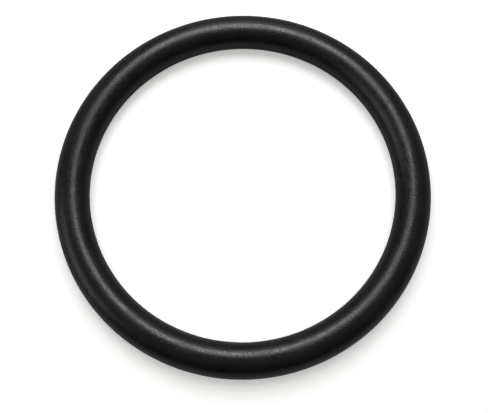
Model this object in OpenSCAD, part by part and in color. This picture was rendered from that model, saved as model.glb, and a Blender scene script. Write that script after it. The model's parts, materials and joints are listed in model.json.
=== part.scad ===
// Rubber o-ring: one moulded ring of round section, lying flat.
// Sizes are in millimetres. The ring's axis is Z, and the surface that it lies on is at Z = 0.

/* [Ring] */
// Inside diameter, from wall to wall
inside_d = 31.34; // [10:0.01:120]
// Diameter of the round section
section_d = 3.53; // [1.78:0.01:7]

/* [Parting line] */
// How far the trimmed parting line stands proud of the inside wall
inner_line_h = 0.04; // [0.01:0.01:0.06]
// How far the trimmed parting line stands proud of the outside wall
outer_line_h = 0.02; // [0.01:0.01:0.06]
// Width of the parting line's flat crown
line_crown_w = 0.12; // [0.06:0.01:0.15]
// Angle in degrees between the parting line's two sloping sides
line_spread = 110; // [60:5:120]

/* [Hidden] */
$fn = 160;
// Colour of the moulded rubber
rubber = [0.07, 0.07, 0.07];
section_r = section_d / 2;
// Radius of the circle through the middle of the section, all the way round the ring
centre_r = inside_d / 2 + section_r;
// How deep the parting line's root is let into the section
line_root = 0.05;

// The ridge left where the mould's two halves met, on the +X side of a section centred on the origin.
// Its sides slope down from a flat crown, and its root lies inside the round section.
module parting_line(height) {
    crown_x = section_r + height;
    root_x = section_r - line_root;
    crown_y = line_crown_w / 2;
    root_y = crown_y + (crown_x - root_x) * tan(line_spread / 2);
    polygon([[root_x, -root_y], [crown_x, -crown_y], [crown_x, crown_y], [root_x, root_y]]);
}

// A true circle with the parting line on its outside and inside walls
module section() {
    circle(r = section_r);
    parting_line(outer_line_h);
    rotate(180) parting_line(inner_line_h);
}

// The section turned once round the ring's axis, and raised to lie on the surface
module o_ring() {
    color(rubber)
        translate([0, 0, section_r])
        rotate_extrude()
        translate([centre_r, 0])
        section();
}

o_ring();
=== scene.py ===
"""A moulded rubber o-ring, lying flat on a white surface and seen from above and a little in front.

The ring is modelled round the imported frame's own ring: a true round section with the low ridge that the
two halves of its mould left on the inside and outside walls. Lengths are in metres.
"""

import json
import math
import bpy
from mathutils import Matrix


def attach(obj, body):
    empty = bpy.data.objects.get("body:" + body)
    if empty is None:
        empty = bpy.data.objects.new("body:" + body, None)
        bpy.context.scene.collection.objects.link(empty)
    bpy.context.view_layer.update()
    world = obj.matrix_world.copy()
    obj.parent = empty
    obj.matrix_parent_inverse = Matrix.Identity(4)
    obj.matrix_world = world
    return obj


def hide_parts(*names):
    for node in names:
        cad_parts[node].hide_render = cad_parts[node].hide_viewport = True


bl_info = {
    "name": "Rubber O-Ring",
    "version": (1, 0, 0),
    "blender": (4, 5, 0),
    "location": "3D View > Sidebar > O-Ring",
    "description": "Models a moulded rubber o-ring and the white studio that it lies in",
    "category": "Add Mesh",
}

import bpy
from mathutils import Matrix, Quaternion, Vector, noise

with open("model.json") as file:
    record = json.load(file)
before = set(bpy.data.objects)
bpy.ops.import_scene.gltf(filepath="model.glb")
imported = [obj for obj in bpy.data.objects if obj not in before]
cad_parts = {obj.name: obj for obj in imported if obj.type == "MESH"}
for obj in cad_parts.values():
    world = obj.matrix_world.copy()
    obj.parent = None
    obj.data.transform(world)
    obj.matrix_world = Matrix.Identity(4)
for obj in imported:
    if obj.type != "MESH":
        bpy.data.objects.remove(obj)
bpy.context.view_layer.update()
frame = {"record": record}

MM = 0.001
RING_NODE = "o_ring"
RUBBER_IOR = 1.5

# The ridge's crowns on both walls are the row's mounts, so the section's walls lie below them.
SEAT_RADIUS = {m["name"]: m["dims"]["r_mm"] * MM for m in frame["record"]["mounts"]}
CROWN_WIDTH = frame["record"]["mounts"][0]["dims"]["length_mm"] * MM
INNER_LINE_HEIGHT = 0.04 * MM
OUTER_LINE_HEIGHT = 0.02 * MM
INSIDE_RADIUS = SEAT_RADIUS["inside_seat"] + INNER_LINE_HEIGHT
OUTSIDE_RADIUS = SEAT_RADIUS["outside_seat"] - OUTER_LINE_HEIGHT
SECTION_RADIUS = (OUTSIDE_RADIUS - INSIDE_RADIUS) / 2

# The two walls that carry a parting line, and the two materials in their order on the mesh.
OUTSIDE, INSIDE = 0, 1
MOULDED, TRIMMED = 0, 1

# The parting line is trimmed as unevenly as a noise is along a circle, once round for one turn of the ring.
# The circle's radius and the way from one wall's circle to the other's are in the noise's own units. Each
# octave of the noise is finer than the one before by the step, and weaker by the falloff.
WEAR_CIRCLE = 5.0
WEAR_APART = 7.0
WEAR_FALLOFF = 0.6
WEAR_STEP = 2.1
WEAR_OCTAVES = 4

# Each range holds the two values of a texture between which the named thing grows or fades.
PIT_WALL = (0.05, 0.28)
PIT_CHANCE = (0.60, 1.0)
PATCH_RANGE = (0.35, 0.65)
SHINE_RANGE = (0.3, 0.7)
WHOLE_RANGE = (0.0, 1.0)

# The wide waves' height beside the fine grain's, the roughness that a pit adds, and how much deeper grain
# and lay are on the trimmed line than on the moulded skin.
WAVE_SHARE = 0.5
PIT_DULLING = 0.25
TRIMMED_DEPTH_SCALE = 1.5

SENSOR_WIDTH_MM = 36.0
CAMERA_SEES_TO = 100.0


class RingSizes(bpy.types.PropertyGroup):
    """Sizes of the moulded ring"""

    inside_radius: bpy.props.FloatProperty(
        name="Inside radius", description="From the axis to the inside wall",
        default=INSIDE_RADIUS, min=0.001, unit="LENGTH", precision=5)
    section_radius: bpy.props.FloatProperty(
        name="Section radius", description="Radius of the round section",
        default=SECTION_RADIUS, min=0.0005, unit="LENGTH", precision=5)
    inner_line: bpy.props.FloatProperty(
        name="Inner line", description="Height of the parting line above the inside wall",
        default=INNER_LINE_HEIGHT, min=0.0, unit="LENGTH", precision=6)
    outer_line: bpy.props.FloatProperty(
        name="Outer line", description="Height of the parting line above the outside wall",
        default=OUTER_LINE_HEIGHT, min=0.0, unit="LENGTH", precision=6)
    crown_width: bpy.props.FloatProperty(
        name="Crown width", description="Width of the parting line's trimmed crown",
        default=CROWN_WIDTH, min=0.0, unit="LENGTH", precision=6)
    line_spread: bpy.props.FloatProperty(
        name="Line spread", description="Angle between the parting line's two sloping sides",
        default=math.radians(110), subtype="ANGLE")
    trim_depth: bpy.props.FloatProperty(
        name="Uneven trim", description="Share of the line's height that trimming takes off at its lowest",
        default=0.5, min=0.0, max=1.0, subtype="FACTOR")
    steps_round: bpy.props.IntProperty(
        name="Steps round", description="Faces round the ring", default=720, min=32)
    steps_over: bpy.props.IntProperty(
        name="Steps over", description="Faces over the top of the section, from line to line",
        default=42, min=8)
    steps_line: bpy.props.IntProperty(
        name="Steps across line", description="Faces across each parting line", default=10, min=4)


class RubberFinish(bpy.types.PropertyGroup):
    """Colour and surface of the black rubber"""

    colour: bpy.props.FloatVectorProperty(
        name="Rubber", description="Colour of the moulded skin", default=(0.0014, 0.0014, 0.0015),
        size=3, min=0.0, max=1.0, subtype="COLOR")
    bloom: bpy.props.FloatVectorProperty(
        name="Bloom", description="Colour of the faint grey bloom that comes up in patches",
        default=(0.0028, 0.0028, 0.0030), size=3, min=0.0, max=1.0, subtype="COLOR")
    trimmed: bpy.props.FloatVectorProperty(
        name="Trimmed line", description="Colour where the mould's skin was trimmed off",
        default=(0.006, 0.006, 0.006), size=3, min=0.0, max=1.0, subtype="COLOR")
    roughness: bpy.props.FloatProperty(
        name="Roughness", description="Middle roughness of the moulded skin",
        default=0.335, min=0.0, max=1.0, subtype="FACTOR")
    roughness_spread: bpy.props.FloatProperty(
        name="Roughness spread", description="How far the roughness strays to each side",
        default=0.03, min=0.0, max=0.5, subtype="FACTOR")
    shine_spread: bpy.props.FloatProperty(
        name="Fine shine", description="How far the roughness strays from grain to grain",
        default=0.08, min=0.0, max=0.5, subtype="FACTOR")
    trimmed_roughness: bpy.props.FloatProperty(
        name="Trimmed roughness", description="Middle roughness of the trimmed line",
        default=0.55, min=0.0, max=1.0, subtype="FACTOR")
    grains_per_mm: bpy.props.FloatProperty(
        name="Grains per mm", description="Fineness of the matte grain", default=5.5, min=0.1)
    grain_depth: bpy.props.FloatProperty(
        name="Grain depth", description="Height of the matte grain",
        default=0.0085 * MM, min=0.0, unit="LENGTH", precision=6)
    lay_depth: bpy.props.FloatProperty(
        name="Lay depth", description="Height of the turned mould's lines, which run round the ring",
        default=0.0080 * MM, min=0.0, unit="LENGTH", precision=6)


class StudioSetup(bpy.types.PropertyGroup):
    """Camera, lamps and white surface"""

    camera_elevation: bpy.props.FloatProperty(
        name="Camera elevation", description="Angle of the view above the surface",
        default=math.radians(75.50), subtype="ANGLE")
    camera_roll: bpy.props.FloatProperty(
        name="Camera roll", description="Turn of the camera about its own axis",
        default=math.radians(-2.82), subtype="ANGLE")
    camera_distance: bpy.props.FloatProperty(
        name="Camera distance", description="From the camera to the point it looks at",
        default=79.12 * MM, min=0.01, unit="LENGTH", precision=5)
    camera_aim: bpy.props.FloatVectorProperty(
        name="Camera aim", description="Point that the camera looks at",
        default=(0.082 * MM, -1.988 * MM, SECTION_RADIUS), size=3, subtype="XYZ", unit="LENGTH",
        precision=5)
    lens: bpy.props.FloatProperty(
        name="Lens", description="Focal length on a 36 mm wide sensor, in millimetres",
        default=57.34, min=10.0)
    overhead_place: bpy.props.FloatVectorProperty(
        name="Overhead place", description="Centre of the overhead softbox, which lights matt surfaces",
        default=(-0.001, 0.036, 0.110), size=3, subtype="XYZ", unit="LENGTH")
    overhead_size: bpy.props.FloatProperty(
        name="Overhead size", description="Width of the square overhead softbox",
        default=0.083, min=0.01, unit="LENGTH")
    overhead_level: bpy.props.FloatProperty(
        name="Overhead brightness", description="Brightness of the overhead lamp's face, where 1 is white",
        default=4.126, min=0.0)
    key_place: bpy.props.FloatVectorProperty(
        name="Key place", description="Centre of the key softbox, which the rubber mirrors",
        default=(0.0034, 0.0510, 0.0853), size=3, subtype="XYZ", unit="LENGTH")
    key_size: bpy.props.FloatVectorProperty(
        name="Key size", description="Width and height of the key softbox",
        default=(0.054, 0.0395), size=2, min=0.01, unit="LENGTH")
    key_roll: bpy.props.FloatProperty(
        name="Key roll", description="Turn of the key softbox about its own axis",
        default=math.radians(-30), subtype="ANGLE")
    key_level: bpy.props.FloatProperty(
        name="Key brightness", description="Brightness of the key softbox's face, where 1 is white",
        default=7.3, min=0.0)
    side_place: bpy.props.FloatVectorProperty(
        name="Side place", description="Centre of the pale side card, which the rubber mirrors",
        default=(-0.400, -0.054, 0.200), size=3, subtype="XYZ", unit="LENGTH")
    side_size: bpy.props.FloatProperty(
        name="Side size", description="Width of the square side card",
        default=0.286, min=0.01, unit="LENGTH")
    side_level: bpy.props.FloatProperty(
        name="Side brightness", description="Brightness of the side card's face, where 1 is white",
        default=1.10, min=0.0)
    low_place: bpy.props.FloatVectorProperty(
        name="Low place", description="Centre of the dim card below the key, which the rubber mirrors",
        default=(0.004, 0.110, 0.062), size=3, subtype="XYZ", unit="LENGTH")
    low_size: bpy.props.FloatVectorProperty(
        name="Low size", description="Width and height of the dim low card",
        default=(0.070, 0.030), size=2, min=0.01, unit="LENGTH")
    low_level: bpy.props.FloatProperty(
        name="Low brightness", description="Brightness of the low card's face, where 1 is white",
        default=0.66, min=0.0)
    lamp_tint: bpy.props.FloatVectorProperty(
        name="Lamp tint", description="Colour of the light of the lamps that the rubber mirrors",
        default=(0.96, 0.972, 1.0), size=3, min=0.0, max=1.0, subtype="COLOR")
    room_level: bpy.props.FloatProperty(
        name="Room level", description="Brightness of the room at its horizon, where 1 is white",
        default=0.102, min=0.0)
    room_slope: bpy.props.FloatVectorProperty(
        name="Room slope", description="How much brighter the room is towards +X, +Y and +Z",
        default=(0.014, 0.101, 0.132), size=3)
    floor_colour: bpy.props.FloatVectorProperty(
        name="Surface", description="Colour of the white surface", default=(0.9, 0.9, 0.9),
        size=3, min=0.0, max=1.0, subtype="COLOR")
    floor_glow: bpy.props.FloatProperty(
        name="Surface lift", description="What is added to the surface where it is seen, up to white",
        default=0.456, min=0.0)
    floor_far_lift: bpy.props.FloatProperty(
        name="Far surface lift", description="The same far from the ring, where the lamps' light falls off",
        default=0.90, min=0.0)
    floor_lift_starts: bpy.props.FloatProperty(
        name="Far lift starts", description="Where the lift starts to grow, in outside radii of the ring",
        default=1.2, min=1.0)
    floor_lift_ends: bpy.props.FloatProperty(
        name="Far lift ends", description="Where the lift stops growing, in outside radii of the ring",
        default=4.0, min=1.0)
    floor_warmth: bpy.props.FloatVectorProperty(
        name="Surface warmth", description="Colour of what is added, which shows in the ring's shadow",
        default=(1.0, 0.988, 0.963), size=3, min=0.0, max=1.0, subtype="COLOR")
    floor_mirrored: bpy.props.FloatProperty(
        name="Surface mirrored", description="Share of the surface's brightness that the rubber mirrors",
        default=0.255, min=0.0, max=1.0, subtype="FACTOR")
    floor_size: bpy.props.FloatProperty(
        name="Surface size", description="Width of the white surface", default=4.0, min=0.1, unit="LENGTH")


def add_node(tree, kind, at=(0, 0), values=None, **settings):
    """Adds a node at a place in the editor, with its settings and the values of its inputs."""
    made = tree.nodes.new(kind)
    made.location = at
    for name, value in settings.items():
        setattr(made, name, value)
    for key, value in (values or {}).items():
        made.inputs[key].default_value = value
    return made


def link(tree, source, target):
    """Joins two sockets, each given as (node, socket)."""
    tree.links.new(source[0].outputs[source[1]], target[0].inputs[target[1]])


def math_node(tree, operation, inputs, at=(0, 0)):
    """A Math node whose inputs, in their order, are numbers or (node, socket) pairs."""
    made = add_node(tree, "ShaderNodeMath", at, operation=operation)
    for index, value in enumerate(inputs):
        if isinstance(value, tuple):
            link(tree, value, (made, index))
        else:
            made.inputs[index].default_value = value
    return made


def spread(tree, value, source, target=WHOLE_RANGE, at=(0, 0)):
    """Maps a value from its source range to the target range, with soft ends."""
    made = add_node(tree, "ShaderNodeMapRange", at, interpolation_type="SMOOTHSTEP",
                    values={"From Min": source[0], "From Max": source[1],
                            "To Min": target[0], "To Max": target[1]})
    link(tree, value, (made, "Value"))
    return made


def new_group(name, inputs, outputs):
    """A shader node group with float inputs {name: default} and float outputs, and its two end nodes."""
    group = bpy.data.node_groups.new(name, "ShaderNodeTree")
    for label, default in inputs.items():
        socket = group.interface.new_socket(name=label, in_out="INPUT", socket_type="NodeSocketFloat")
        socket.default_value = default
    for label in outputs:
        group.interface.new_socket(name=label, in_out="OUTPUT", socket_type="NodeSocketFloat")
    start = add_node(group, "NodeGroupInput", (-900, 0))
    end = add_node(group, "NodeGroupOutput", (900, 0))
    return group, start, end


def place_in_mm(tree, at):
    """The surface's own coordinates in millimetres, so that textures are sized per millimetre."""
    place = add_node(tree, "ShaderNodeTexCoord", at)
    in_mm = add_node(tree, "ShaderNodeVectorMath", (at[0] + 180, at[1]), operation="SCALE",
                     values={"Scale": 1 / MM})
    link(tree, (place, "Object"), (in_mm, 0))
    return in_mm


def grain_group():
    """The matte grain that a blasted mould leaves: fine grain, wider unevenness and a few small pits."""
    group, start, end = new_group(
        "mould_grain",
        {"Grains per mm": 5.5, "Waves per mm": 1.4, "Pits per mm": 2.4, "Pit depth": 1.2,
         "Shine per mm": 4.0, "Patches per mm": 0.35},
        ("Height", "Pits", "Shine", "Patches"))
    place = place_in_mm(group, (-900, 300))
    fine = add_node(group, "ShaderNodeTexNoise", (-400, 400), values={"Detail": 2.0, "Roughness": 0.6})
    link(group, (place, 0), (fine, "Vector"))
    link(group, (start, "Grains per mm"), (fine, "Scale"))
    wide = add_node(group, "ShaderNodeTexNoise", (-400, 150), values={"Detail": 2.0, "Roughness": 0.5})
    link(group, (place, 0), (wide, "Vector"))
    link(group, (start, "Waves per mm"), (wide, "Scale"))
    cells = add_node(group, "ShaderNodeTexVoronoi", (-400, -100), values={"Randomness": 1.0})
    link(group, (place, 0), (cells, "Vector"))
    link(group, (start, "Pits per mm"), (cells, "Scale"))
    chance = add_node(group, "ShaderNodeSeparateColor", (-200, -250))
    link(group, (cells, "Color"), (chance, 0))
    near = spread(group, (cells, "Distance"), PIT_WALL, (1.0, 0.0), (-200, -100))
    chosen = spread(group, (chance, 0), PIT_CHANCE, at=(0, -250))
    pits = math_node(group, "MULTIPLY", ((near, 0), (chosen, 0)), (200, -150))
    sunk = math_node(group, "MULTIPLY", ((pits, 0), (start, "Pit depth")), (300, -50))
    waved = math_node(group, "MULTIPLY_ADD", ((wide, 0), WAVE_SHARE, (fine, 0)), (200, 300))
    height = math_node(group, "SUBTRACT", ((waved, 0), (sunk, 0)), (400, 200))
    patches = add_node(group, "ShaderNodeTexNoise", (-400, -450), values={"Detail": 4.0, "Roughness": 0.55})
    link(group, (place, 0), (patches, "Vector"))
    link(group, (start, "Patches per mm"), (patches, "Scale"))
    shown = spread(group, (patches, 0), PATCH_RANGE, at=(0, -450))
    shine = add_node(group, "ShaderNodeTexNoise", (-400, -700), values={"Detail": 2.0, "Roughness": 0.6})
    link(group, (place, 0), (shine, "Vector"))
    link(group, (start, "Shine per mm"), (shine, "Scale"))
    link(group, (height, 0), (end, "Height"))
    link(group, (pits, 0), (end, "Pits"))
    link(group, (shine, 0), (end, "Shine"))
    link(group, (shown, 0), (end, "Patches"))
    return group


def lay_group():
    """Fine broken lines that run round the ring, as a mould turned on a lathe leaves them."""
    ring_radius = (INSIDE_RADIUS + SECTION_RADIUS) / MM
    group, start, end = new_group(
        "mould_lay",
        {"Lines per mm": 5.0, "Line drift": 0.10, "Ring radius mm": ring_radius,
         "Section radius mm": SECTION_RADIUS / MM},
        ("Height",))
    place = place_in_mm(group, (-1100, 200))
    parts = add_node(group, "ShaderNodeSeparateXYZ", (-700, 200))
    link(group, (place, 0), (parts, 0))
    across = math_node(group, "MULTIPLY", ((parts, "X"), (parts, "X")), (-550, 350))
    squares = math_node(group, "MULTIPLY_ADD", ((parts, "Y"), (parts, "Y"), (across, 0)), (-400, 350))
    out = math_node(group, "SQRT", ((squares, 0),), (-250, 350))
    from_middle = math_node(group, "SUBTRACT", ((out, 0), (start, "Ring radius mm")), (-100, 350))
    rise = math_node(group, "SUBTRACT", ((parts, "Z"), (start, "Section radius mm")), (-100, 150))
    angle = math_node(group, "ARCTAN2", ((from_middle, 0), (rise, 0)), (50, 250))
    length = math_node(group, "MULTIPLY", ((angle, 0), (start, "Section radius mm")), (200, 250))
    drift = add_node(group, "ShaderNodeCombineXYZ", (350, 150))
    slow_x = math_node(group, "MULTIPLY", ((parts, "X"), (start, "Line drift")), (200, 50))
    slow_y = math_node(group, "MULTIPLY", ((parts, "Y"), (start, "Line drift")), (200, -100))
    link(group, (length, 0), (drift, "X"))
    link(group, (slow_x, 0), (drift, "Y"))
    link(group, (slow_y, 0), (drift, "Z"))
    lines = add_node(group, "ShaderNodeTexNoise", (550, 150), values={"Detail": 2.0, "Roughness": 0.6})
    link(group, (drift, 0), (lines, "Vector"))
    link(group, (start, "Lines per mm"), (lines, "Scale"))
    link(group, (lines, 0), (end, "Height"))
    return group


def rubber_material(name, grain, lay, finish, sizes, colour, roughness, depth_scale):
    """Black rubber: a dark base with faint bloom, a satin gloss that strays, and grain and lay as bump."""
    material = bpy.data.materials.new(name)
    material.use_nodes = True
    material.diffuse_color = (*colour, 1.0)
    tree = material.node_tree
    shader = tree.nodes["Principled BSDF"]
    shader.location = (900, 200)
    shader.inputs["IOR"].default_value = RUBBER_IOR
    grains = add_node(tree, "ShaderNodeGroup", (-600, 200), node_tree=grain,
                      values={"Grains per mm": finish.grains_per_mm})
    ring_radius = (sizes.inside_radius + sizes.section_radius) / MM
    lines = add_node(tree, "ShaderNodeGroup", (-600, -200), node_tree=lay,
                     values={"Ring radius mm": ring_radius, "Section radius mm": sizes.section_radius / MM})

    tint = add_node(tree, "ShaderNodeMix", (0, 400), data_type="RGBA",
                    values={"A": (*colour, 1.0), "B": (*finish.bloom, 1.0)})
    link(tree, (grains, "Patches"), (tint, "Factor"))
    link(tree, (tint, "Result"), (shader, "Base Color"))

    gloss_range = (roughness - finish.roughness_spread, roughness + finish.roughness_spread)
    strays = spread(tree, (grains, "Patches"), WHOLE_RANGE, gloss_range, (0, 150))
    shine = (-finish.shine_spread, finish.shine_spread)
    dulled = spread(tree, (grains, "Shine"), SHINE_RANGE, shine, (0, 0))
    fine = math_node(tree, "ADD", ((strays, 0), (dulled, 0)), (150, 100))
    pitted = math_node(tree, "MULTIPLY_ADD", ((grains, "Pits"), PIT_DULLING, (fine, 0)), (300, 150))
    link(tree, (pitted, 0), (shader, "Roughness"))

    turned = add_node(tree, "ShaderNodeBump", (300, -250),
                      values={"Strength": 1.0, "Distance": finish.lay_depth * depth_scale})
    link(tree, (lines, "Height"), (turned, "Height"))
    grained = add_node(tree, "ShaderNodeBump", (550, -100),
                       values={"Strength": 1.0, "Distance": finish.grain_depth * depth_scale})
    link(tree, (grains, "Height"), (grained, "Height"))
    link(tree, (turned, "Normal"), (grained, "Normal"))
    link(tree, (grained, "Normal"), (shader, "Normal"))
    return material


def line_half_width(sizes, height):
    """Half the width that a parting line of that height covers at the wall."""
    return sizes.crown_width / 2 + height * math.tan(sizes.line_spread / 2)


def ridge_share(distance, flat, root):
    """The share of the ridge's height at a distance from its middle: 1 on the flat, 0 at its root."""
    across = min(1.0, max(0.0, (distance - flat) / (root - flat)))
    return 1 - across * across * (3 - 2 * across)


def section_outline(sizes):
    """The section's points once round, each (angle about its centre, height of the ridge, material)."""
    radius = sizes.section_radius
    # Half of the crown's width is left flat, and its two edges are worn round.
    flat = sizes.crown_width / 4
    points = []

    def reach(half_width):
        return math.asin(half_width / radius)

    def ridge(middle, height, half_width):
        for step in range(sizes.steps_line):
            turn = reach(half_width) * (2 * step / sizes.steps_line - 1)
            stands = height * ridge_share(abs(radius * math.sin(turn)), flat, half_width)
            points.append((middle + turn, stands, TRIMMED))

    def arc(start, end):
        for step in range(sizes.steps_over):
            points.append((start + (end - start) * step / sizes.steps_over, 0.0, MOULDED))

    out_half = line_half_width(sizes, sizes.outer_line)
    in_half = line_half_width(sizes, sizes.inner_line)
    ridge(0.0, sizes.outer_line, out_half)
    arc(reach(out_half), math.pi - reach(in_half))
    ridge(math.pi, sizes.inner_line, in_half)
    arc(math.pi + reach(in_half), 2 * math.pi - reach(out_half))
    return points


def trim_left(sizes, turn, wall):
    """The share of the parting line's height that trimming left at this place round the ring."""
    place = Vector((math.cos(turn) * WEAR_CIRCLE, math.sin(turn) * WEAR_CIRCLE, WEAR_APART * (wall + 1)))
    worn = 0.5 + 0.5 * noise.fractal(place, WEAR_FALLOFF, WEAR_STEP, WEAR_OCTAVES)
    return 1 - sizes.trim_depth * min(1.0, max(0.0, worn))


def ring_mesh(sizes):
    """The ring's mesh: the section's outline turned once round the axis, in quads of two materials."""
    outline = section_outline(sizes)
    middle = sizes.inside_radius + sizes.section_radius
    count = len(outline)
    rows = sizes.steps_round
    vertices = []
    for row in range(rows):
        turn = 2 * math.pi * row / rows
        across = (math.cos(turn), math.sin(turn))
        left = (trim_left(sizes, turn, OUTSIDE), trim_left(sizes, turn, INSIDE))
        for angle, stands, _ in outline:
            wall = OUTSIDE if math.cos(angle) > 0 else INSIDE
            reach = sizes.section_radius + stands * left[wall]
            out = middle + reach * math.cos(angle)
            up = sizes.section_radius + reach * math.sin(angle)
            vertices.append((out * across[0], out * across[1], up))
    faces = []
    slots = []
    for row in range(rows):
        following = (row + 1) % rows
        for index in range(count):
            beside = (index + 1) % count
            faces.append((row * count + index, following * count + index,
                          following * count + beside, row * count + beside))
            slots.append(outline[index][2])
    mesh = bpy.data.meshes.new("o_ring_rubber")
    mesh.from_pydata(vertices, [], faces)
    mesh.polygons.foreach_set("material_index", slots)
    mesh.polygons.foreach_set("use_smooth", [True] * len(faces))
    mesh.update()
    return mesh


class ORING_OT_make_ring(bpy.types.Operator):
    """Model the moulded ring with its parting line, in black rubber"""

    bl_idname = "oring.make_ring"
    bl_label = "Make the Ring"

    def execute(self, context):
        sizes = context.scene.oring_sizes
        finish = context.scene.oring_finish
        mesh = ring_mesh(sizes)
        if mesh.validate():
            raise RuntimeError("the ring's mesh had faces that Blender had to mend")
        grain = grain_group()
        lay = lay_group()
        mesh.materials.append(rubber_material(
            "moulded_rubber", grain, lay, finish, sizes, finish.colour, finish.roughness, 1.0))
        mesh.materials.append(rubber_material(
            "trimmed_rubber", grain, lay, finish, sizes, finish.trimmed, finish.trimmed_roughness,
            TRIMMED_DEPTH_SCALE))
        ring = bpy.data.objects.new("o_ring_rubber", mesh)
        context.scene.collection.objects.link(ring)
        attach(ring, "root")
        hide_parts(RING_NODE)
        return {"FINISHED"}


def place_camera(scene, setup):
    """Puts the camera where the photograph was taken from."""
    towards_viewer = Vector((0, -math.cos(setup.camera_elevation), math.sin(setup.camera_elevation)))
    right = Vector((1, 0, 0))
    up = towards_viewer.cross(right)
    turned_right = math.cos(setup.camera_roll) * right + math.sin(setup.camera_roll) * up
    turned_up = math.cos(setup.camera_roll) * up - math.sin(setup.camera_roll) * right
    data = bpy.data.cameras.new("camera")
    data.lens = setup.lens
    data.sensor_width = SENSOR_WIDTH_MM
    data.clip_start = setup.camera_distance / 100
    data.clip_end = CAMERA_SEES_TO
    camera = bpy.data.objects.new("camera", data)
    turn = Matrix((turned_right, turned_up, towards_viewer)).transposed().to_4x4()
    aim = Vector(setup.camera_aim)
    camera.matrix_world = Matrix.Translation(aim + towards_viewer * setup.camera_distance) @ turn
    scene.collection.objects.link(camera)
    scene.camera = camera


def place_softbox(scene, name, place, size, level, tint, mirrored, roll=0.0):
    """A flat lamp that faces the ring. It is only mirrored in gloss, or else only lights matt surfaces."""
    width, height = size
    # A face as bright as white gives off pi watts for each square metre.
    watts = level * math.pi * width * height
    data = bpy.data.lights.new(name, "AREA")
    data.shape = "RECTANGLE"
    data.size = width
    data.size_y = height
    data.energy = watts
    data.color = tint
    lamp = bpy.data.objects.new(name, data)
    lamp.location = place
    lamp.rotation_mode = "QUATERNION"
    lamp.rotation_quaternion = Vector(place).to_track_quat("Z", "Y") @ Quaternion((0, 0, 1), roll)
    lamp.visible_camera = False
    lamp.visible_diffuse = not mirrored
    lamp.visible_glossy = mirrored
    scene.collection.objects.link(lamp)


def ray_mask(tree, rays, at):
    """1 for the rays named and 0 for all others, as a (node, socket) pair."""
    path = add_node(tree, "ShaderNodeLightPath", at)
    total = (path, rays[0])
    for offset, ray in enumerate(rays[1:], start=1):
        total = (math_node(tree, "MAXIMUM", (total, (path, ray)), (at[0] + 180 * offset, at[1])), 0)
    return total


def light_room(scene, setup):
    """A dim room that is brighter above the ring and behind it, and plain white where it is seen."""
    world = bpy.data.worlds.new("room")
    world.use_nodes = True
    tree = world.node_tree
    tree.nodes.clear()
    place = add_node(tree, "ShaderNodeTexCoord", (-800, 0))
    slope = add_node(tree, "ShaderNodeVectorMath", (-600, 0), operation="DOT_PRODUCT")
    slope.inputs[1].default_value = setup.room_slope
    link(tree, (place, "Generated"), (slope, 0))
    level = math_node(tree, "ADD", ((slope, "Value"), setup.room_level), (-400, 0))
    lit = math_node(tree, "MAXIMUM", ((level, 0), 0.0), (-200, 0))
    seen = ray_mask(tree, ("Is Camera Ray", "Is Transmission Ray"), (-600, 300))
    strength = add_node(tree, "ShaderNodeMix", (0, 100), data_type="FLOAT", values={"B": 1.0})
    link(tree, seen, (strength, "Factor"))
    link(tree, (lit, 0), (strength, "A"))
    background = add_node(tree, "ShaderNodeBackground", (200, 0), values={"Color": (1, 1, 1, 1)})
    link(tree, (strength, "Result"), (background, "Strength"))
    end = add_node(tree, "ShaderNodeOutputWorld", (400, 0))
    link(tree, (background, 0), (end, "Surface"))
    scene.world = world


def surface_material(setup):
    """A plain white surface that keeps the ring's shadow, lifted to white where it is seen."""
    material = bpy.data.materials.new("white_surface")
    material.use_nodes = True
    tree = material.node_tree
    tree.nodes.clear()
    path = add_node(tree, "ShaderNodeLightPath", (-900, 300))
    level = add_node(tree, "ShaderNodeMix", (-600, 300), data_type="FLOAT",
                     values={"A": 1.0, "B": setup.floor_mirrored})
    link(tree, (path, "Is Glossy Ray"), (level, "Factor"))
    colour = add_node(tree, "ShaderNodeVectorMath", (-300, 300), operation="SCALE")
    colour.inputs[0].default_value = setup.floor_colour
    link(tree, (level, 0), (colour, "Scale"))
    matt = add_node(tree, "ShaderNodeBsdfDiffuse", (0, 200))
    link(tree, (colour, 0), (matt, "Color"))
    seen = ray_mask(tree, ("Is Camera Ray", "Is Glossy Ray", "Is Transmission Ray"), (-900, 0))
    place = add_node(tree, "ShaderNodeTexCoord", (-1100, -250))
    away = add_node(tree, "ShaderNodeVectorMath", (-900, -250), operation="LENGTH")
    link(tree, (place, "Object"), (away, 0))
    distances = (OUTSIDE_RADIUS * setup.floor_lift_starts, OUTSIDE_RADIUS * setup.floor_lift_ends)
    lifts = (setup.floor_glow, setup.floor_far_lift)
    added = spread(tree, (away, "Value"), distances, lifts, (-700, -250))
    lift = math_node(tree, "MULTIPLY", (seen, (added, 0)), (-400, 0))
    strength = math_node(tree, "MULTIPLY", ((lift, 0), (level, 0)), (-200, 0))
    glow = add_node(tree, "ShaderNodeEmission", (0, 0), values={"Color": (*setup.floor_warmth, 1.0)})
    link(tree, (strength, 0), (glow, "Strength"))
    both = add_node(tree, "ShaderNodeAddShader", (200, 100))
    link(tree, (matt, 0), (both, 0))
    link(tree, (glow, 0), (both, 1))
    end = add_node(tree, "ShaderNodeOutputMaterial", (400, 100))
    link(tree, (both, 0), (end, "Surface"))
    return material


def lay_surface(scene, setup):
    """The white surface that the ring lies on."""
    half = setup.floor_size / 2
    mesh = bpy.data.meshes.new("surface")
    corners = [(-half, -half, 0), (half, -half, 0), (half, half, 0), (-half, half, 0)]
    mesh.from_pydata(corners, [], [(0, 1, 2, 3)])
    mesh.materials.append(surface_material(setup))
    surface = bpy.data.objects.new("surface", mesh)
    scene.collection.objects.link(surface)


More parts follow.
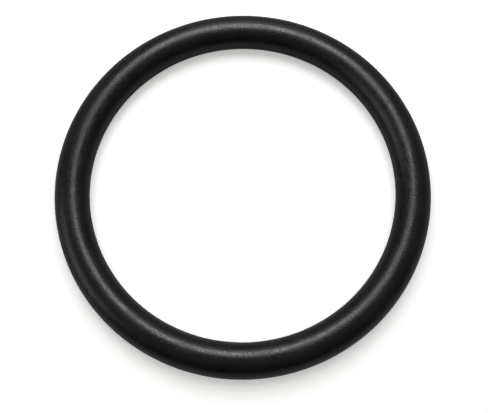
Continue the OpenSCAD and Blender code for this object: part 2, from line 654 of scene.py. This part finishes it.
class ORING_OT_set_stage(bpy.types.Operator):
    """Set the camera, the soft lamps, the dim room and the white surface"""

    bl_idname = "oring.set_stage"
    bl_label = "Set the Stage"

    def execute(self, context):
        scene = context.scene
        setup = scene.oring_studio
        scene.view_settings.view_transform = "Standard"
        place_camera(scene, setup)
        lay_surface(scene, setup)
        light_room(scene, setup)
        tint = setup.lamp_tint
        overhead_size = (setup.overhead_size, setup.overhead_size)
        side_size = (setup.side_size, setup.side_size)
        place_softbox(scene, "overhead_softbox", setup.overhead_place, overhead_size,
                      setup.overhead_level, (1, 1, 1), False)
        place_softbox(scene, "key_softbox", setup.key_place, setup.key_size, setup.key_level, tint, True,
                      setup.key_roll)
        place_softbox(scene, "side_card", setup.side_place, side_size, setup.side_level, tint, True)
        place_softbox(scene, "low_card", setup.low_place, setup.low_size, setup.low_level, tint, True)
        return {"FINISHED"}


class ORING_PT_panel(bpy.types.Panel):
    """Lists the o-ring's sizes, finish and stage"""

    bl_idname = "ORING_PT_panel"
    bl_label = "Rubber O-Ring"
    bl_space_type = "VIEW_3D"
    bl_region_type = "UI"
    bl_category = "O-Ring"

    def draw(self, context):
        for title, group, operator in (
                ("Stage", context.scene.oring_studio, ORING_OT_set_stage.bl_idname),
                ("Ring", context.scene.oring_sizes, ORING_OT_make_ring.bl_idname),
                ("Rubber", context.scene.oring_finish, None)):
            box = self.layout.box()
            box.label(text=title)
            for name in group.__annotations__:
                box.prop(group, name)
            if operator:
                box.operator(operator)


CLASSES = (RingSizes, RubberFinish, StudioSetup, ORING_OT_set_stage, ORING_OT_make_ring, ORING_PT_panel)


def register():
    """Registers the classes and the scene's three groups of settings."""
    for each in CLASSES:
        bpy.utils.register_class(each)
    bpy.types.Scene.oring_sizes = bpy.props.PointerProperty(type=RingSizes)
    bpy.types.Scene.oring_finish = bpy.props.PointerProperty(type=RubberFinish)
    bpy.types.Scene.oring_studio = bpy.props.PointerProperty(type=StudioSetup)


def unregister():
    """Takes the settings and the classes out again."""
    del bpy.types.Scene.oring_studio
    del bpy.types.Scene.oring_finish
    del bpy.types.Scene.oring_sizes
    for each in reversed(CLASSES):
        bpy.utils.unregister_class(each)


def main():
    """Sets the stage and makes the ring."""
    register()
    bpy.ops.oring.set_stage()
    bpy.ops.oring.make_ring()


if __name__ == "__main__":
    main()
